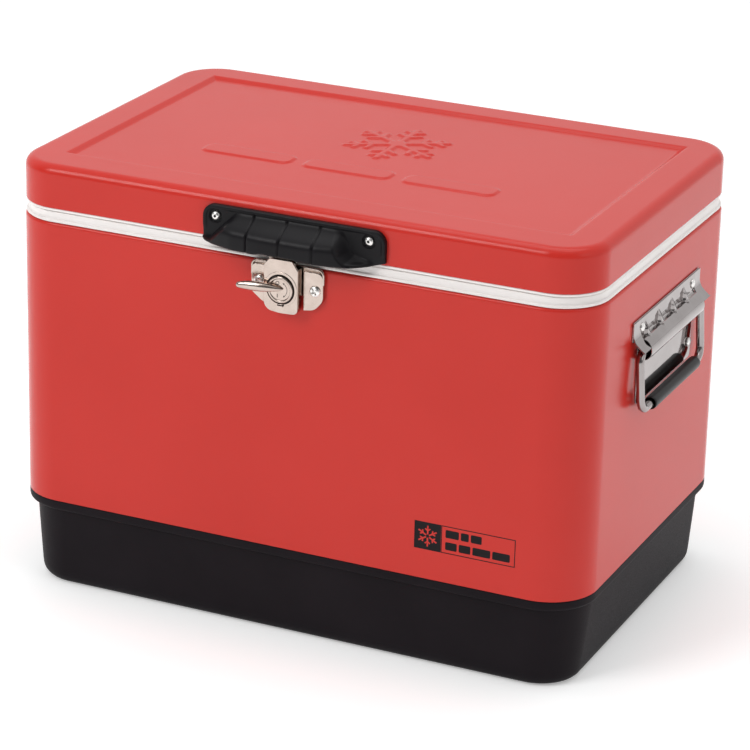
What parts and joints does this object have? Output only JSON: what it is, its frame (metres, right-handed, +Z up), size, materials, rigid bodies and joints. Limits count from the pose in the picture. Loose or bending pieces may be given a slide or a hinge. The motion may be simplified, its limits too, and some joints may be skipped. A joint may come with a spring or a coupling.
{
  "type": "cooler chest",
  "caption": "Insulated cooler chest with a steel belt over a moulded base, hinged steel lid with a pull handle, quarter-turn hasp latch and swinging side bails.",
  "frame": {"origin": "centre of the base tub's flat underside", "axes": "+X to the right end of the chest as seen from the front, -Y to the front with the latch, +Z up"},
  "size_m": [0.633, 0.43, 0.4362],
  "materials": {
    "red_paint": "gloss enamel on sheet steel",
    "black_plastic": "satin, fine moulded grain",
    "grip_rubber": "smooth satin sleeve",
    "white_plastic": "semi-gloss moulded",
    "foam": "foamed-in-place insulation",
    "gasket_rubber": "soft extruded seal",
    "nickel": "satin nickel plate",
    "stainless": "polished stainless"
  },
  "bodies": {
    "chest": {"base_tub": "black_plastic", "body_shell": "red_paint", "body_insulation": "foam", "inner_liner": "white_plastic", "keeper_plate": "nickel", "keeper_screw_left": "nickel", "keeper_screw_right": "nickel", "right_handle_plate": "stainless", "right_handle_rivet_1": "stainless", "right_handle_rivet_2": "stainless", "right_handle_rivet_3": "stainless", "right_handle_rivet_4": "stainless", "left_handle_plate": "stainless", "left_handle_rivet_1": "stainless", "left_handle_rivet_2": "stainless", "left_handle_rivet_3": "stainless", "left_handle_rivet_4": "stainless", "drain_spout": "white_plastic", "drain_nut": "white_plastic", "left_hinge_body_leaf": "stainless", "left_hinge_pin": "stainless", "left_hinge_body_screw_a": "stainless", "left_hinge_body_screw_b": "stainless", "right_hinge_body_leaf": "stainless", "right_hinge_pin": "stainless", "right_hinge_body_screw_a": "stainless", "right_hinge_body_screw_b": "stainless"},
    "lid": {"lid_shell": "red_paint", "lid_insulation": "foam", "lid_liner": "white_plastic", "lid_gasket": "gasket_rubber", "front_handle": "black_plastic", "handle_screw_left": "nickel", "handle_screw_right": "nickel", "latch_bracket": "nickel", "latch_bracket_rivet_left": "nickel", "latch_bracket_rivet_right": "nickel", "latch_pin": "stainless", "left_hinge_lid_leaf": "stainless", "left_hinge_lid_screw_a": "stainless", "left_hinge_lid_screw_b": "stainless", "right_hinge_lid_leaf": "stainless", "right_hinge_lid_screw_a": "stainless", "right_hinge_lid_screw_b": "stainless"},
    "latch_strap": {"latch_strap": "nickel"},
    "latch_rotor": {"latch_disc": "nickel", "latch_lever": "nickel", "latch_cam": "stainless"},
    "right_bail": {"right_bail": "stainless", "right_grip": "grip_rubber"},
    "left_bail": {"left_bail": "stainless", "left_grip": "grip_rubber"},
    "drain_cap": {"drain_cap": "white_plastic"}
  },
  "joints": [
    {"name": "lid_hinge", "type": "hinge", "parent": "chest", "child": "lid", "pos_m": [0, 0.203, 0.3905], "axis": [-1, 0, 0], "range_deg": [0, 100]},
    {"name": "strap_hinge", "type": "hinge", "parent": "lid", "child": "latch_strap", "pos_m": [-0.0015, -0.202, 0.3865], "axis": [-1, 0, 0], "range_deg": [0, 60]},
    {"name": "latch_turn", "type": "hinge", "parent": "latch_strap", "child": "latch_rotor", "pos_m": [-0.0015, -0.2083, 0.3587], "axis": [0, -1, 0], "range_deg": [0, 90]},
    {"name": "right_bail_hinge", "type": "hinge", "parent": "chest", "child": "right_bail", "pos_m": [0.3065, 0.003, 0.3055], "axis": [0, -1, 0], "range_deg": [0, 80]},
    {"name": "left_bail_hinge", "type": "hinge", "parent": "chest", "child": "left_bail", "pos_m": [-0.3065, 0.003, 0.3055], "axis": [0, 1, 0], "range_deg": [0, 80]},
    {"name": "drain_cap_hinge", "type": "hinge", "parent": "chest", "child": "drain_cap", "pos_m": [-0.29795, 0, 0.079], "axis": [0, 1, 0], "range_deg": [0, 90]}
  ]
}
